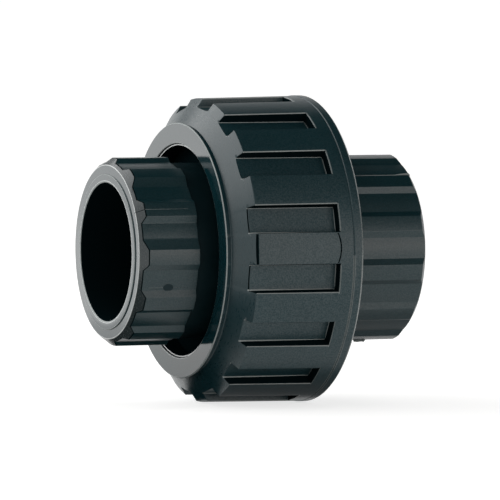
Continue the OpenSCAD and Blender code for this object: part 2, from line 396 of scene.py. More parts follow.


# Painted highlights on edges: a grey line, a pale one and a nearly white one.
rubbed = rubbed_pvc("rubbed_pvc", "#5c6666", "#788181", smooth=0.22, rough=0.34)
scuffed = rubbed_pvc("scuffed_pvc", "#878f8e", "#a9b0af", smooth=0.36, rough=0.55)
whitened = rubbed_pvc("whitened_pvc", "#c3c9c8", "#dde1e0", smooth=0.12, rough=0.22)
print("rubbed finishes:", rubbed.name, scuffed.name, whitened.name)

# %% [markdown]
# Every moulding carries the same list of finishes, and only the grain differs. Which one a face gets
# depends on where the face lies and which way it looks, so each piece has a rule that is told both.

# %% The list of finishes, and how faces get theirs
# Five of these finishes paint light and shade: a sheen, a black shade and three highlights from grey to
# white.
GRAINED, FACED, CONED, PAINTED_SHEEN, PAINTED_SHADE, GREY_HIGHLIGHT, PALE_HIGHLIGHT, WHITE_HIGHLIGHT, SHADED = range(9)
shared = [faced, coned, painted_sheen_finish, painted_shade_finish, rubbed, scuffed, whitened, shaded]
end_finishes = [satin] + shared
nut_finishes = [grained] + shared
FACING = 0.9  # part of a normal from which a face looks straight that way
LEANING = 0.3  # part of a normal from which a face leans that way


def finish_by(piece, finishes, rule):
    """Gives each face a finish: rule takes its place, radius, angle and its normal's two parts."""
    mesh = piece.data
    mesh.materials.clear()
    for finish in finishes:
        mesh.materials.append(finish)
    for face in mesh.polygons:
        x, y, z = face.center / MM
        r = math.hypot(y, z)
        outwards = (face.normal.y * y + face.normal.z * z) / r
        face.material_index = rule(x, r, math.degrees(math.atan2(z, -y)), face.normal.x, outwards)


# %% [markdown]
# ## Softened edges
#
# A moulded edge is never sharp: it has a small radius that catches the light. Some edges are painted as well:
# some with a highlight from grey over pale to nearly white, some with a line of black painted shade. A single
# Bevel modifier has one finish, so there is one for each finish that an edge can have, and each edge carries
# its own width as a bevel weight. Weighted normals then keep flat faces flat.
#
# Each piece has a rule that says what kind of edge it sees, and a list with the finish and width of each
# kind.

# %% Bevels with a width for each edge
SHARP = math.radians(21)  # edges that bend less belong to a round wall
LENGTHWISE = 0.5  # part of an edge's run from which it runs along the axis
PLAIN = -1  # this bevel takes on the finish beside it
# Three of these edge finishes are painted highlights, and one is a line of black painted shade.
ROUNDINGS = {GREY_HIGHLIGHT: "rubbed", PALE_HIGHLIGHT: "scuffed", WHITE_HIGHLIGHT: "whitened", PAINTED_SHADE: "dulled", PLAIN: "rounded"}


def soften(piece, kinds, rule):
    """Rounds the sharp edges: rule names an edge's kind from its place, radius, angle and run."""
    bm = bmesh.new()
    bm.from_mesh(piece.data)
    layers = {finish: bm.edges.layers.float.new(name) for finish, name in ROUNDINGS.items()}
    for edge in bm.edges:
        if len(edge.link_faces) == 2 and edge.calc_face_angle() > SHARP:
            start, end = [v.co for v in edge.verts]
            along = abs(end.x - start.x) / (end - start).length
            finish, width = kinds[rule(*off_axis((start + end) / 2), along)]
            edge[layers[finish]] = width
            edge.smooth = width > 0
    bm.to_mesh(piece.data)
    bm.free()
    for finish, name in ROUNDINGS.items():
        bevel = piece.modifiers.new(name + " edges", "BEVEL")
        bevel.limit_method = "WEIGHT"
        bevel.edge_weight = name
        bevel.width = MM
        bevel.segments = 2
        bevel.material = finish
        bevel.use_clamp_overlap = False
    normals = piece.modifiers.new("flat faces", "WEIGHTED_NORMAL")
    normals.keep_sharp = True


# %% [markdown]
# ## The nut
#
# The nut is a ring with sixteen pockets. Around one pocket the outline changes only between two cases: on a
# land it runs over the cone and along the tapered grip, and in a pocket it leaves the cone early and
# follows a flat floor up to the rear wall. Both outlines have the same points, so the pocket's walls come
# out as single quads.

# %% Sizes of the nut's front and inside
NUT_GAP = 2.7  # between the lands and the opening that they pass through
FACE_W = 5.3
FLANGE_T = 4.6
FRONT_NECK_LEN = 1.35  # from the front face to the cone
NUT_EDGE = 0.5
OPENING_STEP = 0.28
FRONT_EDGE = 0.24
FRONT_DIP = 0.4
THREAD_ROOT_R = 29.4
THREAD_MOUTH = 1.0

opening_r = land_r + NUT_GAP
face_r = opening_r + FACE_W
flange_x = nut_front_x + FLANGE_T
cone_x = nut_front_x + FRONT_NECK_LEN
print("opening and face of the nut:", round(opening_r, 2), round(face_r, 2))

# %% Sizes of the nut's grip
CONE_LEN = 4.2
GRIP_R = 35.75
GRIP_DRAFT = math.radians(0.85)
RIM_W = 2.2
RIM_H = 0.12
RIM_GROOVE = 0.18
BAND_W = 3.6  # plain band between the pockets and the rim
POCKET_COUNT = 16
POCKET_ANGLE = 13.95
POCKET_W = 6.6
POCKET_SIDE, POCKET_REAR = 0.35, 0.2  # how far a pocket's walls lean
FLOOR_R = 33.6
FLOOR_STEP = 0.12
FLOOR_STEP_W = 0.32

grip_x = cone_x + CONE_LEN
rim_x = nut_rear_x - RIM_W
pocket_end_x = rim_x - BAND_W
floor_end_x = pocket_end_x - POCKET_REAR
rear_grip_r = rim_r - RIM_H
pocket_foot = math.degrees(math.atan2(POCKET_W / 2 - POCKET_SIDE, FLOOR_R))
pocket_brim = math.degrees(math.atan2(POCKET_W / 2, GRIP_R))
half_step = 180 / POCKET_COUNT
print("pockets from", round(grip_x, 2), "to", round(pocket_end_x, 2), "each", round(2 * pocket_brim, 2),
      "degrees")


# %% One pocket, then the ring of sixteen
def grip_radius(x):
    """Radius of the tapered grip at a place along the axis."""
    return GRIP_R + (x - grip_x) * math.tan(GRIP_DRAFT)


def cone_place(r):
    """Place along the axis where the cone has a radius."""
    start_r = face_r - FRONT_DIP
    return cone_x + (r - start_r) / (GRIP_R - start_r) * CONE_LEN


def nut_outline(angle, in_pocket):
    """Closed outline of the nut at an angle from the pocket's middle."""
    floor = FLOOR_R / math.cos(math.radians(min(abs(angle), pocket_foot)))
    step_x = cone_place(floor) + FLOOR_STEP_W
    rise = (GRIP_R - floor) / (grip_x - cone_place(floor))
    return [
        (flange_x, opening_r),
        (nut_front_x + NUT_EDGE, opening_r),
        (nut_front_x + NUT_EDGE, opening_r + OPENING_STEP),
        (nut_front_x, opening_r + NUT_EDGE),
        (nut_front_x, face_r - FRONT_EDGE),
        (nut_front_x + FRONT_EDGE, face_r),
        (cone_x, face_r - FRONT_DIP),
        (cone_place(floor), floor),
        (step_x, floor if in_pocket else floor + rise * FLOOR_STEP_W),
        (step_x + FLOOR_STEP, floor if in_pocket else floor + rise * (FLOOR_STEP_W + FLOOR_STEP)),
        (grip_x, floor if in_pocket else GRIP_R),
        (floor_end_x, floor if in_pocket else grip_radius(floor_end_x)),
        (pocket_end_x, grip_radius(pocket_end_x)),
        (rim_x - 2 * RIM_GROOVE, rear_grip_r),
        (rim_x - RIM_GROOVE, rear_grip_r - RIM_GROOVE),
        (rim_x, rim_r),
        (nut_rear_x - NUT_EDGE, rim_r),
        (nut_rear_x, rim_r - NUT_EDGE),
        (nut_rear_x, THREAD_ROOT_R + THREAD_MOUTH),
        (nut_rear_x - THREAD_MOUTH, THREAD_ROOT_R),
        (flange_x, THREAD_ROOT_R),
    ]


angles = ([(a, False) for a in spread(-half_step, -pocket_brim, 4)]
          + [(a, True) for a in spread(-pocket_foot, pocket_foot, 8)]
          + [(a, False) for a in spread(pocket_brim, half_step, 4)])
nut = sector("nut_shell", [(POCKET_ANGLE + a, nut_outline(a, inside)) for a, inside in angles])
run_tree(nut, ring_tree, RING_IDS, {"Copies": POCKET_COUNT, "Weld": WELD, "Finish": grained})

# %% [markdown]
# In the mould each pocket is an insert of its own. The two beside the front's middle stand a little proud,
# so these pockets' floors start with a shallow step behind the cone. Every pocket already has the points
# for it, so the step needs no cut: those of the two floors are sunk.

# %% The step in two pockets
STEPPED = (0, -1)  # counted upwards from the pocket at POCKET_ANGLE
TOUCH = 0.1  # room for what lies on a place


def in_stepped_pocket(angle):
    """Whether an angle lies in the floor of a pocket that has a step."""
    return any(abs(turned(angle, POCKET_ANGLE + 2 * half_step * pocket)) < pocket_foot + TOUCH
               for pocket in STEPPED)


for vertex in nut.data.vertices:
    x, r, angle = off_axis(vertex.co)
    step_end_x = cone_place(r) + FLOOR_STEP_W
    in_strip = cone_place(FLOOR_R) - FLOOR_STEP / 2 < x < step_end_x + FLOOR_STEP / 2
    if in_strip and r < FLOOR_R + 2 * TOUCH and in_stepped_pocket(angle):
        vertex.co = on_axis(x, r - FLOOR_STEP, angle)
close_up(nut)

# %% [markdown]
# One land has a plain flat on it: another insert in the mould, whose joints show as a slot behind the cone
# and an arc before the band. They come once and cross the sector's lines, so three small solids cut them
# with Booleans.

# %% The flat with its slot and arc
FLAT_ANGLE = POCKET_ANGLE - half_step
FLAT_DEPTH = 0.3
SLOT_FRONT, SLOT_REAR = -0.4, 0.25  # the slot's two sides, from the end of the cone
SLOT_DEPTH = 0.6
JOINT_W = 7.0  # how wide the slot and the arc are
ARC_R = 9.0
ARC_W = 0.35
ARC_DEPTH = 0.25
CLEAR = 1.0  # how far the cutting solids stand out


def cut_away(piece, base, lift):
    """Cuts a prism out of a piece: its points are along the axis, up from the land and across it."""
    a = math.radians(FLAT_ANGLE)

    def placed(x, up, across):
        y = across * math.sin(a) - up * math.cos(a)
        return Vector((x, y, up * math.sin(a) + across * math.cos(a))) * MM

    bm = bmesh.new()
    face = bm.faces.new([bm.verts.new(placed(*point)) for point in base])
    raised = bmesh.ops.extrude_face_region(bm, geom=[face])["geom"]
    raised_points = [v for v in raised if isinstance(v, bmesh.types.BMVert)]
    bmesh.ops.translate(bm, verts=raised_points, vec=placed(*lift))
    bmesh.ops.recalc_face_normals(bm, faces=bm.faces)
    cutter = piece_from("cutter", bm)
    boolean = piece.modifiers.new("cut", "BOOLEAN")
    boolean.object = cutter
    boolean.solver = "EXACT"
    plain_mesh(piece)
    bpy.data.objects.remove(cutter)


out_x = pocket_end_x + FLAT_DEPTH
top = rim_r + CLEAR
slot_x, slot_end_x, slot_r = grip_x + SLOT_FRONT, grip_x + SLOT_REAR, GRIP_R - SLOT_DEPTH
wedge = [(grip_x, GRIP_R - FLAT_DEPTH), (out_x, grip_radius(out_x)), (out_x, top), (grip_x, top)]
slot = [(slot_x, slot_r), (slot_end_x, slot_r), (slot_end_x, top), (slot_x, top)]
for profile, width in ((wedge, 2 * POCKET_W), (slot, JOINT_W)):
    cut_away(nut, [(x, up, -width / 2) for x, up in profile], (0, 0, width))
half_arc = math.asin(JOINT_W / 2 / ARC_R)
arc = [(out_x - ARC_R * (1 - math.cos(a)), ARC_R * math.sin(a)) for a in spread(-half_arc, half_arc, 16)]
inner_arc = [(x - ARC_W, across) for x, across in reversed(arc)]
cut_away(nut, [(x, grip_radius(out_x) - ARC_DEPTH, across) for x, across in arc + inner_arc], (0, CLEAR, 0))
close_up(nut)

# %% [markdown]
# The nut's front face is polished and its cone turned. The grip is grained, and so are the pockets' floors,
# but the joints of the inserts, the steps and the walls of the pockets near the front are painted black as
# shade, like all faces that look inwards. The front edge, the opening and the rear edge carry painted
# highlights.

# %% Finishes of the nut
WALL, FLOOR = 0.6, 0.8  # outward part of a normal: under it for a wall, over it for a floor
ROOM = 1.0  # room round a larger feature
JOINT_LOW = 0.12  # a joint lies at least this far under the grip
ARC_ROOM = 2.0
# Pocket walls nearer the front than this are painted black as shade.
PAINTED_SHADE_ANGLE = 69.0  # walls further round than this are grained


def nut_finish(x, r, angle, along, outwards):
    """Finish of a face of the nut."""
    # Faces that look inwards get black painted shade.
    if outwards < -LEANING:
        return PAINTED_SHADE
    # The front edge, the opening and the rear edge get painted highlights: pale, white and grey.
    if x < nut_front_x + FRONT_EDGE and r > face_r - FRONT_EDGE:
        return PALE_HIGHLIGHT
    if x < flange_x and r < opening_r + OPENING_STEP:
        return WHITE_HIGHLIGHT
    if x > nut_rear_x - NUT_EDGE and r > rim_r - NUT_EDGE:
        return GREY_HIGHLIGHT
    if along < -FACING and x < cone_x:
        return FACED
    if x < cone_x + TOUCH:
        return CONED
    in_step = (in_stepped_pocket(angle) and r < FLOOR_R + TOUCH and outwards > FLOOR
               and x < cone_place(r) + FLOOR_STEP_W + 2 * FLOOR_STEP)
    in_joint = (FLOOR_R + ROOM < r < grip_radius(x) - JOINT_LOW
                and (x > out_x - ARC_ROOM or slot_x < x < slot_end_x))
    in_wall = (outwards < WALL and along > -LEANING and grip_x - CONE_LEN / 2 < x < rim_x - ROOM
               and abs(angle) < PAINTED_SHADE_ANGLE)
    # Steps, joints of the inserts and walls of pockets near the front get black painted shade.
    if in_step or in_joint or in_wall:
        return PAINTED_SHADE
    return CONED if along < -LEANING and x < grip_x else GRAINED


finish_by(nut, nut_finishes, nut_finish)
print("dull faces on the nut:", sum(f.material_index == PAINTED_SHADE for f in nut.data.polygons))

# %% [markdown]
# Where light catches the nut's edges they carry painted highlights. Each pocket has a pale one along the brim
# further from the front's middle and along the feet of its side walls, and a grey one along its rear wall and
# its foot; the brim nearer the middle has a line of black painted shade. The rim's lower edge and the
# opening's edge have grey ones. The flat keeps sharp edges, with a line of black painted shade along its
# sides.

# %% Edges of the nut
NUT_EDGE_KINDS = {
    "flat": (PLAIN, 0), "side of the flat": (PAINTED_SHADE, 0.12), "upper rim": (PLAIN, 0.06),
    "lower rim": (GREY_HIGHLIGHT, 0.1), "opening": (GREY_HIGHLIGHT, 0.18), "front": (PLAIN, 0.05),
    "outer brim": (PALE_HIGHLIGHT, 0.18), "inner brim": (PAINTED_SHADE, 0.08), "rear brim": (GREY_HIGHLIGHT, 0.24),
    "low rear brim": (GREY_HIGHLIGHT, 0.14), "upper foot": (PALE_HIGHLIGHT, 0.1), "lower foot": (PALE_HIGHLIGHT, 0.22),
    "rear foot": (GREY_HIGHLIGHT, 0.16), "step": (PLAIN, 0), "other": (PLAIN, 0.12)}
FLAT_HALF = half_step - pocket_brim + 0.2  # half the flat's width, with a little room
LOW_ANGLE = -20.0  # rear brims under this get a narrower painted highlight


def nut_edge(x, r, angle, along):
    """Kind of an edge of the nut."""
    if abs(turned(angle, FLAT_ANGLE)) < FLAT_HALF and grip_x - ROOM < x < rim_x - ROOM:
        return "side of the flat" if along > LENGTHWISE and x > grip_x + ROOM else "flat"
    if x > rim_x - ROOM:
        return "upper rim" if angle > 0 else "lower rim"
    if x < nut_front_x + ROOM:
        return "opening" if opening_r + OPENING_STEP + TOUCH < r < opening_r + ROOM else "front"
    above_pocket = (angle - POCKET_ANGLE + half_step) % (2 * half_step) > half_step
    if r > GRIP_R - TOUCH and x > grip_x + ROOM:
        if along > LENGTHWISE:
            return "outer brim" if above_pocket == (angle > 0) else "inner brim"
        return "rear brim" if angle > LOW_ANGLE else "low rear brim"
    if r < FLOOR_R + ROOM / 2 and x > cone_x + ROOM:
        if along < FACING:
            return "rear foot" if x > pocket_end_x - ROOM else "step"
        return "upper foot" if above_pocket else "lower foot"
    return "other"


soften(nut, NUT_EDGE_KINDS, nut_edge)
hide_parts("union_nut")
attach(nut, "union_nut")

# %% [markdown]
# ## The collar end and the threaded end
#
# Both sockets have twelve lands around them. One sector holds one land and half a flute on each side. The
# outline is the whole wall of the moulding, from the mouth over the barrel to the collar or hub and back
# through the bore. Both ends start with the same kind of mouth, so one function draws it.

# %% The mouth of a socket
SOCKET_DEPTH = 22.0
BORE_LEAD = 0.3  # chamfer that leads the pipe in
BORE_RING_W = 0.3  # ring round the bore, painted white as a highlight on the collar end
LIP_W = 2.1
LIP_H = 0.3


def mouth_outline(mouth_x, way, outer_r, edge_r, steepness):
    """Outline of a socket's mouth, from the pipe stop over the lip to the end of the outer chamfer."""
    cone = (outer_r - edge_r) / steepness
    return [
        (mouth_x + way * SOCKET_DEPTH, bore_r),
        (mouth_x + way * BORE_LEAD, bore_r),
        (mouth_x, bore_r + BORE_LEAD),
        (mouth_x, bore_r + BORE_LEAD + BORE_RING_W),
        (mouth_x, bore_r + LIP_W),
        (mouth_x + way * LIP_H, bore_r + LIP_W),
        (mouth_x + way * LIP_H, edge_r),
        (mouth_x + way * (LIP_H + cone), outer_r),
    ]


# %% The collar end's outline
NEAR_MOUTH_DROP, NEAR_MOUTH_RUN = 1.7, 1.9  # height and length of the outer chamfer
NEAR_LAND_ANGLE = -1.2
NEAR_GRIP_LEN = 14.9
NECK_STEP = 0.5
COLLAR_T = 5.0
COLLAR_EDGE = 0.5

mouth_r = land_r - NEAR_MOUTH_DROP
grip_end_x = near_x + NEAR_GRIP_LEN
neck_r = flute_r - NECK_STEP
collar_back_x = collar_face_x - COLLAR_T


def collar_end_outline(outer_r):
    """Closed outline of the collar end where the barrel has this radius."""
    return mouth_outline(near_x, 1, outer_r, mouth_r, NEAR_MOUTH_DROP / NEAR_MOUTH_RUN) + [
        (grip_end_x, outer_r),
        (grip_end_x, neck_r),
        (collar_back_x, neck_r),
        (collar_back_x, collar_r - COLLAR_EDGE),
        (collar_back_x + COLLAR_EDGE, collar_r),
        (collar_face_x - COLLAR_EDGE, collar_r),
        (collar_face_x, collar_r - COLLAR_EDGE),
        (collar_face_x, flow_r),
        (near_x + SOCKET_DEPTH, flow_r),
    ]


# %% The threaded end's outline
FAR_GROW = 0.25  # how much larger this barrel is
FAR_MOUTH_DROP, FAR_MOUTH_RUN = 1.5, 1.2
FAR_LAND_ANGLE = 16.8
HUB_R = 27.2
HUB_INSET = 1.5  # the hub ends this far inside the nut
HUB_WALL = 3.0
CORE_DEPTH = 11.0  # of the recess that cores out the hub
GROOVE_WALL = 3.2
GROOVE_DEPTH = 2.9
GROOVE_ROOM = 0.45  # play round the seal

hub_rear_x = nut_rear_x - HUB_INSET
core_x = hub_rear_x - CORE_DEPTH
groove_in_r = flow_r + GROOVE_WALL
groove_out_r = ring_out_r + GROOVE_ROOM
far_edge_r = land_r + FAR_GROW - FAR_MOUTH_DROP


def threaded_end_outline(outer_r):
    """Closed outline of the threaded end where the other, smaller barrel has this radius."""
    outer_r += FAR_GROW
    return mouth_outline(far_x, -1, outer_r, far_edge_r, FAR_MOUTH_DROP / FAR_MOUTH_RUN) + [
        (core_x, outer_r),
        (core_x, HUB_R - HUB_WALL),
        (hub_rear_x, HUB_R - HUB_WALL),
        (hub_rear_x, HUB_R),
        (seal_x + NUT_EDGE, HUB_R),
        (seal_x, HUB_R - NUT_EDGE),
        (seal_x, groove_out_r),
        (seal_x + GROOVE_DEPTH, groove_out_r),
        (seal_x + GROOVE_DEPTH, groove_in_r),
        (seal_x, groove_in_r),
        (seal_x, flow_r),
        (far_x - SOCKET_DEPTH, flow_r),
    ]


print("outlines:", len(collar_end_outline(land_r)), "and", len(threaded_end_outline(land_r)), "points")

# %% [markdown]
# The mould opens sideways, and a steep flank beside its parting line would hold the moulding fast. So on
# the collar end four flanks lean back further than the rest. Their points are moved after the ring is made:
# the foot goes outwards, and the flute beside it is squeezed evenly.

# %% Lands, and flanks that lean back
LAND_COUNT = 12
LAND_TOP_W = 3.6
LAND_FOOT_W = 6.2
DRAFT_FOOT_W = 8.1  # with both flanks leaning back
LEANING_FLANKS = [(0, 1), (60, -1), (180, 1), (240, -1)]  # land's angle from the first land, and side
land_top = math.degrees(math.atan2(LAND_TOP_W / 2, land_r))
land_foot = math.degrees(math.atan2(LAND_FOOT_W / 2, flute_r))
wide_foot = math.degrees(math.atan2(DRAFT_FOOT_W / 2, flute_r))
land_step = 180 / LAND_COUNT
land_angles = ([(a, flute_r) for a in spread(-land_step, -land_foot, 3)]
               + [(a, land_r) for a in spread(-land_top, land_top, 4)]
               + [(a, flute_r) for a in spread(land_foot, land_step, 3)])
HAIR = 0.01  # degrees


def lean_back(piece, land, side):
    """Widens one flank of a land and squeezes the half of the flute beside it."""
    for vertex in piece.data.vertices:
        x, r, angle = off_axis(vertex.co)
        beside = side * turned(angle, land)
        if land_foot - HAIR < beside < land_step - HAIR:
            share = (land_step - beside) / (land_step - land_foot)
            vertex.co = on_axis(x, r, land + side * (land_step - share * (land_step - wide_foot)))


print("half a land's foot:", round(land_foot, 1), "degrees, leaning back", round(wide_foot, 1))

# %% [markdown]
# The rim of the bore and the lip carry pale painted highlights, and the edge where the mouth meets its
# chamfer a white one. The flutes end in little arcs of black painted shade on the chamfer. All other edges
# have the mould's own small radius.

# %% Edges and finishes of the socket ends
END_EDGE_KINDS = {"bore": (PALE_HIGHLIGHT, 0.2), "lip": (PALE_HIGHLIGHT, 0.14), "mouth": (WHITE_HIGHLIGHT, 0.12),
                  "flute end": (PAINTED_SHADE, 0.15), "other": (PLAIN, 0.1)}
CROSSING = 0.95  # edges that run less than this along the axis cross a barrel
chamfer_x = near_x + LIP_H
barrel_x = chamfer_x + NEAR_MOUTH_RUN


def end_edge(x, r, angle, along):
    """Kind of an edge of a socket end."""
    if x < near_x + LIP_H / 2 or x > far_x - LIP_H / 2:
        return "bore" if r < bore_r + LIP_W / 2 else "lip"
    if x < chamfer_x + TOUCH and r > mouth_r - TOUCH:
        return "mouth"
    if chamfer_x + LIP_H < x < barrel_x + LIP_H and along < CROSSING:
        return "flute end"
    return "other"


def collar_end_finish(x, r, angle, along, outwards):
    """Glossy mouth with a white painted highlight round the bore, painted sheen on the chamfer, black painted
    shade in the bore and on the collar, dark painted shade on the neck, grained barrel.
    """
    behind = x > grip_end_x - TOUCH
    if outwards < -LEANING or behind and abs(along) > LEANING:
        return PAINTED_SHADE
    if behind:
        return SHADED
    if along < -FACING:
        return WHITE_HIGHLIGHT if r < bore_r + BORE_LEAD + BORE_RING_W else FACED
    return PAINTED_SHEEN if along < -LEANING else GRAINED


def threaded_end_finish(x, r, angle, along, outwards):
    """Glossy mouth, satin chamfer, black painted shade in the bore and the hub's recess, grained barrel and
    hub.
    """
    if outwards < -LEANING or x < hub_rear_x and along > FACING:
        return PAINTED_SHADE
    if x > far_x - SOCKET_DEPTH / 2 and along > LEANING:
        return FACED if along > FACING else CONED
    return GRAINED


# %% Two rings of twelve lands
def socket(name, node, outline, middle, leaning, finish_rule):
    """One of the two socket ends, with a land at the angle middle and the flanks that lean back."""
    piece = sector(name, [(middle + a, outline(r)) for a, r in land_angles])
    run_tree(piece, ring_tree, RING_IDS, {"Copies": LAND_COUNT, "Weld": WELD, "Finish": satin})
    for land, side in leaning:
        lean_back(piece, middle + land, side)
    close_up(piece)
    finish_by(piece, end_finishes, finish_rule)
    soften(piece, END_EDGE_KINDS, end_edge)
    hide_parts(node)
    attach(piece, node)


socket("collar_end_body", "socket_end", collar_end_outline, NEAR_LAND_ANGLE, LEANING_FLANKS,
       collar_end_finish)
socket("threaded_end_body", "threaded_end", threaded_end_outline, FAR_LAND_ANGLE, [], threaded_end_finish)

# %% [markdown]
# ## Traces of the mould
#
# Where the two halves of a mould meet, a little plastic creeps between them and leaves a fine line of
# flash. On the collar end it runs along the barrel, and a dark line goes on over the chamfer. On the
# threaded end it thickens to a small tongue at the mouth, and a scrap of it hangs under the barrel. A
# second line on the collar end leads through the round trace of the gate that the plastic came in through.
# The lines are thin ridges along a path, rooted in the barrel's wall, and the gate is a flat disc. The pale
# and grey colours of the lines and the scrap are painted highlights, and the dark line over the chamfer takes
# the black of the painted shade.

# %% A ridge of flash
FLASH_ROOT = 0.3


def flash(name, body, finish, width, path):
    """Fine ridge on a barrel: path has the place, radius, angle and height of each of its points."""
    bm = bmesh.new()
    rows = []
    for x, r, angle, height in path:
        half = math.degrees(width / 2 / r)
        rows.append([bm.verts.new(on_axis(x, *corner)) for corner in (
            (r - FLASH_ROOT, angle - half), (r, angle - half), (r + height, angle), (r, angle + half),
            (r - FLASH_ROOT, angle + half))])
    join(bm, rows)
    bm.faces.new(rows[0])
    bm.faces.new(rows[-1])
    piece = piece_from(name, bm)
    close_up(piece)
    piece.data.materials.append(finish)
    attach(piece, body)


# %% Lines on the collar end
LINE_W, LINE_H = 0.1, 0.03
LINE_END = 2.0  # before the barrel's end
MOUTH_LINE_W, MOUTH_LINE_H = 0.14, 0.02
GATE_ANGLE = -21.0
GATE_LINE_H = 0.02
GATE_LINE_START, GATE_LINE_END = 3.0, 2.5  # from the mouth, and before the barrel's end
near_top = NEAR_LAND_ANGLE + 2 * land_step
flash("collar_end_flash", "socket_end", rubbed, LINE_W, [
    (barrel_x, land_r, near_top, LINE_H), (grip_end_x - LINE_END, land_r, near_top, LINE_H)])
flash("collar_end_mouth_line", "socket_end", painted_shade_finish, MOUTH_LINE_W, [
    (chamfer_x, mouth_r, near_top, MOUTH_LINE_H), (barrel_x, land_r, near_top, MOUTH_LINE_H)])
flash("collar_end_gate_line", "socket_end", rubbed, LINE_W, [
    (near_x + GATE_LINE_START, flute_r, GATE_ANGLE, GATE_LINE_H),
    (grip_end_x - GATE_LINE_END, flute_r, GATE_ANGLE, GATE_LINE_H)])

# %% Line, tongue and scrap on the threaded end
SIDE_LINE_W, SIDE_LINE_H = 0.16, 0.05
SIDE_LINE_TURN, SIDE_LINE_RISE = 6.2, 0.55  # from a land's middle, and above the flutes
# The points of the tongue: how far before the lip, how far down, and how high.
TONGUE = ((4.0, 0.0, 0.08), (2.6, 0.0, 0.4), (0.6, 0.0, 0.6), (0.0, 0.3, 0.3))
SCRAP_X = 26.4
SCRAP_W = 0.5
SCRAP = ((-1.6, 0.4), (-0.6, 0.5), (0.4, 0.4), (1.0, 0.5), (1.4, 0.1))  # place and height of its points
far_side = FAR_LAND_ANGLE + 2 * land_step + SIDE_LINE_TURN
far_side_r = flute_r + FAR_GROW + SIDE_LINE_RISE
far_lip_x = far_x - LIP_H - FAR_MOUTH_RUN / 2
far_low = FAR_LAND_ANGLE - 6 * land_step - land_top
flash("threaded_end_flash", "threaded_end", scuffed, SIDE_LINE_W,
      [(nut_rear_x, far_side_r, far_side, SIDE_LINE_H)]
      + [(far_lip_x - before, far_side_r - drop, far_side, height) for before, drop, height in TONGUE])
flash("threaded_end_scrap", "threaded_end", rubbed, SCRAP_W, [
    (SCRAP_X + place, land_r + FAR_GROW, far_low, height) for place, height in SCRAP])

# %% The gate's trace
GATE_X = 7.8
GATE_R = 0.9
GATE_STRETCH = 1.4
GATE_ROOT = 0.3
GATE_H = 0.04
bm = bmesh.new()
bmesh.ops.create_cone(bm, cap_ends=True, segments=32, radius1=GATE_R * MM, radius2=GATE_R * MM,
                      depth=2 * GATE_ROOT * MM)
outward = on_axis(0, 1, GATE_ANGLE).normalized()
facing_out = Vector((0, 0, 1)).rotation_difference(outward).to_matrix().to_4x4()
centre = Matrix.Translation(on_axis(near_x + GATE_X, flute_r + GATE_H - GATE_ROOT, GATE_ANGLE))
bm.transform(centre @ Matrix.Scale(GATE_STRETCH, 4, (1, 0, 0)) @ facing_out)
gate = piece_from("collar_end_gate", bm)
close_up(gate)
gate.data.shade_flat()
gate.data.materials.append(gate_skin)
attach(gate, "socket_end")

# %% [markdown]
# ## The thread
#
# The thread is one ridge that winds up the hub and its partner that winds up the inside of the nut. A ridge
# follows a path, so Geometry Nodes sweep its trapezoid section along a helix. At both ends the path dives
# into its wall, as a moulded thread runs out.

# %% The helix that a ridge follows
RUN_OUT = 24.0  # a ridge rises over one part in this many of its length
ridge_tree, given, RIDGE_IDS = new_tree("helical_ridge", {
    "Base": "NodeSocketGeometry", "First turn": "NodeSocketFloat", "Last turn": "NodeSocketFloat",
    "Pitch": "NodeSocketFloat", "Phase": "NodeSocketFloat", "Radius": "NodeSocketFloat",
    "Dive": "NodeSocketFloat", "Outwards": "NodeSocketFloat", "Height": "NodeSocketFloat",
    "Root width": "NodeSocketFloat", "Crest width": "NodeSocketFloat", "Steps": "NodeSocketInt",
    "Finish": "NodeSocketMaterial"})
line = add(ridge_tree, "GeometryNodeCurvePrimitiveLine", {"End": (1.0, 0.0, 0.0)})
path = add(ridge_tree, "GeometryNodeResampleCurve", {"Curve": line, "Count": given["Steps"]})
share = add(ridge_tree, "GeometryNodeSplineParameter").outputs["Factor"]
turns = add(ridge_tree, "ShaderNodeMapRange", {
    "Value": share, "To Min": given["First turn"], "To Max": given["Last turn"]})
wound = add(ridge_tree, "ShaderNodeMath", {0: turns, 1: math.tau}, operation="MULTIPLY")
sine = add(ridge_tree, "ShaderNodeMath", {0: wound}, operation="SINE")
cosine = add(ridge_tree, "ShaderNodeMath", {0: wound}, operation="COSINE")
down = add(ridge_tree, "ShaderNodeMath", {0: cosine, 1: -1.0}, operation="MULTIPLY")
radial = add(ridge_tree, "ShaderNodeCombineXYZ", {"Y": sine, "Z": down})
from_end = add(ridge_tree, "ShaderNodeMath", {0: 1.0, 1: share}, operation="SUBTRACT")
nearest = add(ridge_tree, "ShaderNodeMath", {0: share, 1: from_end}, operation="MINIMUM")
risen = add(ridge_tree, "ShaderNodeMath", {0: nearest, 1: RUN_OUT}, operation="MULTIPLY", use_clamp=True)
sunk = add(ridge_tree, "ShaderNodeMath", {0: 1.0, 1: risen}, operation="SUBTRACT")
dive = add(ridge_tree, "ShaderNodeMath", {0: sunk, 1: given["Dive"]}, operation="MULTIPLY")
reach = add(ridge_tree, "ShaderNodeMath", {0: given["Radius"], 1: dive}, operation="SUBTRACT")
around = add(ridge_tree, "ShaderNodeVectorMath", {0: radial, "Scale": reach}, operation="SCALE")
advance = add(ridge_tree, "ShaderNodeMath", {
    0: turns, 1: given["Pitch"], 2: given["Phase"]}, operation="MULTIPLY_ADD")
forward = add(ridge_tree, "ShaderNodeCombineXYZ", {"X": advance})
place = add(ridge_tree, "ShaderNodeVectorMath", {0: around, 1: forward}, operation="ADD")
helix = add(ridge_tree, "GeometryNodeSetPosition", {"Geometry": path, "Position": place})
print("helix takes", len(ridge_tree.nodes), "nodes")

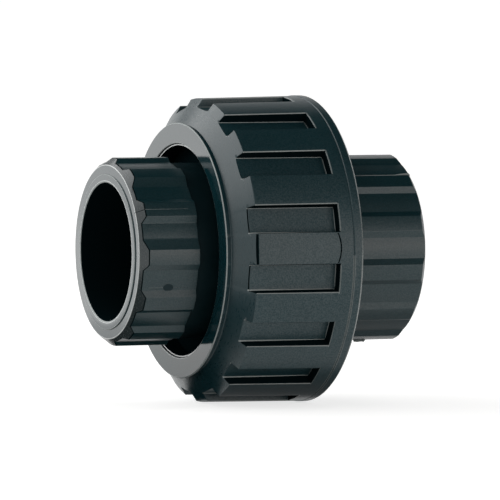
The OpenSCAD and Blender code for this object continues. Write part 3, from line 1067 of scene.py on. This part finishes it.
# %% The section that is swept along it
crest_way = add(ridge_tree, "ShaderNodeVectorMath", {
    0: radial, "Scale": given["Outwards"]}, operation="SCALE")
steady = add(ridge_tree, "GeometryNodeSetCurveNormal", {"Curve": helix, "Normal": crest_way}, mode="FREE")
section = add(ridge_tree, "GeometryNodeCurvePrimitiveQuadrilateral", {
    "Height": given["Height"], "Bottom Width": given["Root width"],
    "Top Width": given["Crest width"], "Offset": 0.0}, mode="TRAPEZOID")
swept = add(ridge_tree, "GeometryNodeCurveToMesh", {
    "Curve": steady, "Profile Curve": section, "Fill Caps": True})
real = add(ridge_tree, "GeometryNodeRealizeInstances", {"Geometry": swept})
finished = add(ridge_tree, "GeometryNodeSetMaterial", {"Geometry": real, "Material": given["Finish"]})
add(ridge_tree, "NodeGroupOutput", {"Result": finished})
print("ridge tree has", len(ridge_tree.nodes), "nodes")

# %% The two ridges
PITCH = 4.0
THREAD_H = 1.8
FLANK = math.radians(15)
RIDGE_ROOT = 0.6
FLANK_GAP = 0.3
THREAD_GAP = 0.4
THREAD_LEAD = 1.0  # bare wall before the first and after the last turn
STEPS_PER_TURN = 60
RIDGE_EDGES = {"any": (PLAIN, 0.2)}
crest_w = PITCH / 2 - FLANK_GAP - (THREAD_H - THREAD_GAP) * math.tan(FLANK)


def ridge(name, body, wall_r, outwards, phase_x, start_x, end_x, finish):
    """Thread ridge on a wall, with its crest pointing out or in, whose middle runs between two places."""
    first, last = (start_x - phase_x) / PITCH, (end_x - phase_x) / PITCH
    height = THREAD_H + RIDGE_ROOT
    bm = bmesh.new()
    bm.verts.new((0, 0, 0))
    piece = piece_from(name, bm)
    run_tree(piece, ridge_tree, RIDGE_IDS, {
        "First turn": first, "Last turn": last, "Pitch": PITCH * MM, "Phase": phase_x * MM,
        "Radius": (wall_r + outwards * (height / 2 - RIDGE_ROOT)) * MM, "Dive": outwards * THREAD_H * MM,
        "Outwards": float(outwards), "Height": height * MM, "Crest width": crest_w * MM,
        "Root width": (crest_w + 2 * height * math.tan(FLANK)) * MM,
        "Steps": round((last - first) * STEPS_PER_TURN), "Finish": finish})
    close_up(piece)
    soften(piece, RIDGE_EDGES, lambda x, r, angle, along: "any")
    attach(piece, body)


ridge("hub_thread", "threaded_end", HUB_R, 1, seal_x, seal_x + THREAD_LEAD + PITCH / 4,
      hub_rear_x - THREAD_LEAD - PITCH / 4, satin)
ridge("nut_thread", "union_nut", THREAD_ROOT_R, -1, seal_x + PITCH / 2, seal_x + PITCH / 4,
      nut_rear_x - THREAD_MOUTH - PITCH / 4, grained)

# %% [markdown]
# ## The seal
#
# The O-ring lies in its groove, squeezed flat where the two faces meet it. It is a turned section: a circle
# cut off by two flats, carried round the axis. Such rings are moulded from black EPDM rubber and dusted
# with talc, so that they don't stick together.

# %% The rubber of the seal
RUBBER_IOR = 1.5
TALC_MM, TALC_DEPTH_MM = 1.6, 0.02


def moulded_rubber(name, colour, dust):
    """Black EPDM rubber: dull, with a trace of talc that greys it in patches."""
    material, tree, shader = new_material(name)
    place = add(tree, "ShaderNodeTexCoord").outputs["Object"]
    talc = add(tree, "ShaderNodeTexNoise", {
        "Vector": place, "Scale": per_metre(TALC_MM), "Detail": 4.0}).outputs["Fac"]
    amount = add(tree, "ShaderNodeMapRange", {"Value": talc, "From Min": 0.5, "From Max": 0.8})
    tint = add(tree, "ShaderNodeMix", {
        "Factor": amount, "A": linear(colour), "B": linear(dust)}, data_type="RGBA")
    dull = add(tree, "ShaderNodeMapRange", {"Value": talc, "To Min": 0.5, "To Max": 0.75})
    bump = add(tree, "ShaderNodeBump", {"Strength": 0.4, "Distance": TALC_DEPTH_MM * MM, "Height": talc})
    feed(tree, shader, {
        "IOR": RUBBER_IOR, "Base Color": tint.outputs["Result"], "Roughness": dull,
        "Normal": bump})
    return material


rubber = moulded_rubber("epdm_rubber", "#161617", "#3a3a3b")
print("seal's finish:", rubber.name)

# %% The squeezed ring
RING_D = 3.5
RING_POINTS = 36
RING_SECTORS = 12
ring_mid_r = ring_out_r - RING_D / 2
ring_mid_x = (ring_front_x + ring_rear_x) / 2
ring_half_h = (ring_rear_x - ring_front_x) / 2


def ring_outline():
    """Closed outline of the ring's section."""
    turns = [math.tau * i / RING_POINTS for i in range(RING_POINTS)]
    return [(ring_mid_x + max(-ring_half_h, min(ring_half_h, RING_D / 2 * math.sin(a))),
             ring_mid_r + RING_D / 2 * math.cos(a)) for a in turns]


seal = sector("seal_ring", [(a, ring_outline()) for a in spread(0, 360 / RING_SECTORS, 12)])
run_tree(seal, ring_tree, RING_IDS, {"Copies": RING_SECTORS, "Weld": WELD, "Finish": rubber})
close_up(seal)
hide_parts("o_ring")
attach(seal, "threaded_end")

# %% [markdown]
# ## Camera
#
# The photograph was taken from nearly the union's own height with a long lens. The view was worked out from
# where the edges of the mouth, the nut and its pockets lie in it.

# %% The photograph's view
VIEW_AZIMUTH = math.radians(-22.877)
VIEW_ELEVATION = math.radians(2.621)
VIEW_DISTANCE = 1.469
LENS_MM = 448.0
LOOK_RIGHT, LOOK_UP = 0.15, -0.193  # the view's middle from the union's


def looking(azimuth, elevation):
    """Direction to look from; azimuth zero is the front and grows to the right."""
    level = math.cos(elevation)
    return Vector((math.sin(azimuth) * level, -math.cos(azimuth) * level, math.sin(elevation)))


back = looking(VIEW_AZIMUTH, VIEW_ELEVATION)
right = Vector((math.cos(VIEW_AZIMUTH), math.sin(VIEW_AZIMUTH), 0))
target = (LOOK_RIGHT * right + LOOK_UP * back.cross(right)) * MM
camera = bpy.data.objects.new("camera", bpy.data.cameras.new("camera"))
camera.data.lens = LENS_MM
camera.data.sensor_width = 36.0
camera.data.clip_start = 0.01
camera.data.clip_end = 50.0
camera.location = target + VIEW_DISTANCE * back
camera.rotation_mode = "QUATERNION"
camera.rotation_quaternion = (-back).to_track_quat("-Z", "Y")
bpy.context.scene.collection.objects.link(camera)
bpy.context.scene.camera = camera
print("camera at", [round(c, 3) for c in camera.location])

# %% [markdown]
# ## Studio
#
# The union stands on a white floor in front of white. The floor and the world show white to the camera and
# in reflections, and give only a soft light themselves, so the floor keeps its shadow.

# %% Floor and world
FLOOR_GLOW = 0.72
FLOOR_SIZE = 20.0
AMBIENT = 0.45
WHITE = (1.0, 1.0, 1.0, 1.0)
BLACK = (0.0, 0.0, 0.0, 1.0)
floor_z = cad_box[0].z


def seen_directly(tree):
    """One for camera, glossy and transmission rays, which show the white surroundings."""
    rays = add(tree, "ShaderNodeLightPath").outputs
    both = add(tree, "ShaderNodeMath", {
        0: rays["Is Camera Ray"], 1: rays["Is Glossy Ray"]}, operation="MAXIMUM")
    return add(tree, "ShaderNodeMath", {
        0: both, 1: rays["Is Transmission Ray"]}, operation="MAXIMUM")


def level_sheet(x, y, z):
    """Corners of a level sheet that reaches between two places each way, in metres."""
    return [(x[0], y[0], z), (x[1], y[0], z), (x[1], y[1], z), (x[0], y[1], z)]


def plane(name, corners, material):
    """Flat piece of the stage between its corners."""
    bm = bmesh.new()
    bm.faces.new([bm.verts.new(c) for c in corners])
    sheet = piece_from(name, bm)
    sheet.data.materials.append(material)
    return sheet


paper, tree, shader = new_material("white_paper")
glow = add(tree, "ShaderNodeMath", {0: seen_directly(tree), 1: FLOOR_GLOW}, operation="MULTIPLY")
feed(tree, shader, {
    "Base Color": linear("#c4c4c2"), "Roughness": 0.9, "Emission Color": WHITE,
    "Emission Strength": glow})
plane("floor", level_sheet((-FLOOR_SIZE, FLOOR_SIZE), (-FLOOR_SIZE, FLOOR_SIZE), floor_z), paper)

world = bpy.data.worlds.new("studio")
bpy.context.scene.world = world
world.use_nodes = True
tree = world.node_tree
level = add(tree, "ShaderNodeMapRange", {"Value": seen_directly(tree), "To Min": AMBIENT, "To Max": 1.0})
feed(tree, tree.nodes["Background"], {"Strength": level, "Color": WHITE})
print("floor at", round(floor_z / MM, 2), "mm")

# %% [markdown]
# Dark plastic shows what stands around it more than its own colour. So, as in a product photographer's
# studio, cards keep the white out of it: black and dark grey ones overhead, a dark grey one on the right and
# a grey one far behind. Black, dark grey and grey sheets on the floor under the sockets and the nut are
# painted
# shadow: they put the union's own shadow on the floor into its reflections. They only show in reflections:
# the camera doesn't see them, and they throw no shadow.

# %% Cards
SHADOW_SHEET_LIFT = 0.3 * MM


def card(name, brightness):
    """Plain card that shows the same brightness from everywhere."""
    material, tree, shader = new_material(name)
    feed(tree, shader, {
        "Base Color": BLACK, "Specular IOR Level": 0.0, "Emission Color": WHITE,
        "Emission Strength": brightness})
    return material


def flag(name, corners, material):
    """Card that only darkens reflections."""
    sheet = plane(name, corners, material)
    sheet.visible_camera = False
    sheet.visible_diffuse = False
    sheet.visible_shadow = False


grey = card("grey_card", 0.35)
dark_grey = card("dark_grey_card", 0.17)
black = card("black_velvet", 0.0)
shadow_sheet_z = floor_z + SHADOW_SHEET_LIFT
flag("ceiling_flag", level_sheet(x=(-0.17, 1.2), y=(-0.8, 0.5), z=0.41), dark_grey)
flag("overhead_flag", level_sheet(x=(-0.15, 0.7), y=(-0.22, 0.3), z=0.4), black)
flag("right_flag", [
    (0.75, -0.5, floor_z), (0.75, 0.4, floor_z), (0.75, 0.4, 0.5), (0.75, -0.5, 0.5)], dark_grey)
# Painted shadow on the floor, seen only in reflections: black under the collar end, dark grey under the nut,
# grey under the threaded end.
flag("left_mat", [(x, y, shadow_sheet_z) for x, y in (
    (-0.13, -0.075), (-0.05, -0.03), (-0.03, -0.016), (-0.014, -0.009), (-0.012, 0.012), (-0.028, 0.012),
    (-0.032, 0.036), (-0.09, 0.016))], black)
flag("nut_mat", level_sheet(x=(-0.014, 0.022), y=(-0.023, -0.0085), z=shadow_sheet_z), dark_grey)
flag("far_mat", level_sheet(x=(0.022, 0.055), y=(-0.02, 0.012), z=shadow_sheet_z), grey)
flag("back_flag", [(-0.3, 1.0, 0.3), (0.15, 1.0, 0.3), (0.15, 1.0, 0.55), (-0.3, 1.0, 0.55)], grey)
print("cards:", grey.name, dark_grey.name, black.name)

# %% [markdown]
# A big softbox behind the union's left shoulder makes the faces that look left pale. A small one low on the
# same side helps it from below, and a weaker, slightly warm one stands in front.

# %% Lamps
def lamp(name, azimuth, elevation, distance, width, height, watts, colour):
    """Softbox that looks at the union from a direction in degrees; its sizes are metres."""
    light = bpy.data.lights.new(name, "AREA")
    light.shape = "RECTANGLE"
    light.size = width
    light.size_y = height
    light.energy = watts
    light.color = linear(colour)[:3]
    holder = bpy.data.objects.new(name, light)
    way = looking(math.radians(azimuth), math.radians(elevation))
    holder.location = way * distance
    holder.rotation_mode = "QUATERNION"
    holder.rotation_quaternion = way.to_track_quat("Z", "Y")
    holder.visible_camera = False
    bpy.context.scene.collection.objects.link(holder)
    print(name, watts, "W at", [round(c, 2) for c in holder.location])


lamp("left_softbox", azimuth=-130, elevation=32, distance=1.0, width=1.4, height=0.8, watts=6,
     colour="#ffffff")
lamp("low_softbox", azimuth=-157, elevation=0, distance=0.32, width=0.26, height=0.1, watts=0.065,
     colour="#ffffff")
lamp("front_softbox", azimuth=20, elevation=0, distance=1.2, width=0.8, height=0.4, watts=2.0,
     colour="#ffeee6")
bpy.context.scene.view_settings.view_transform = "Standard"
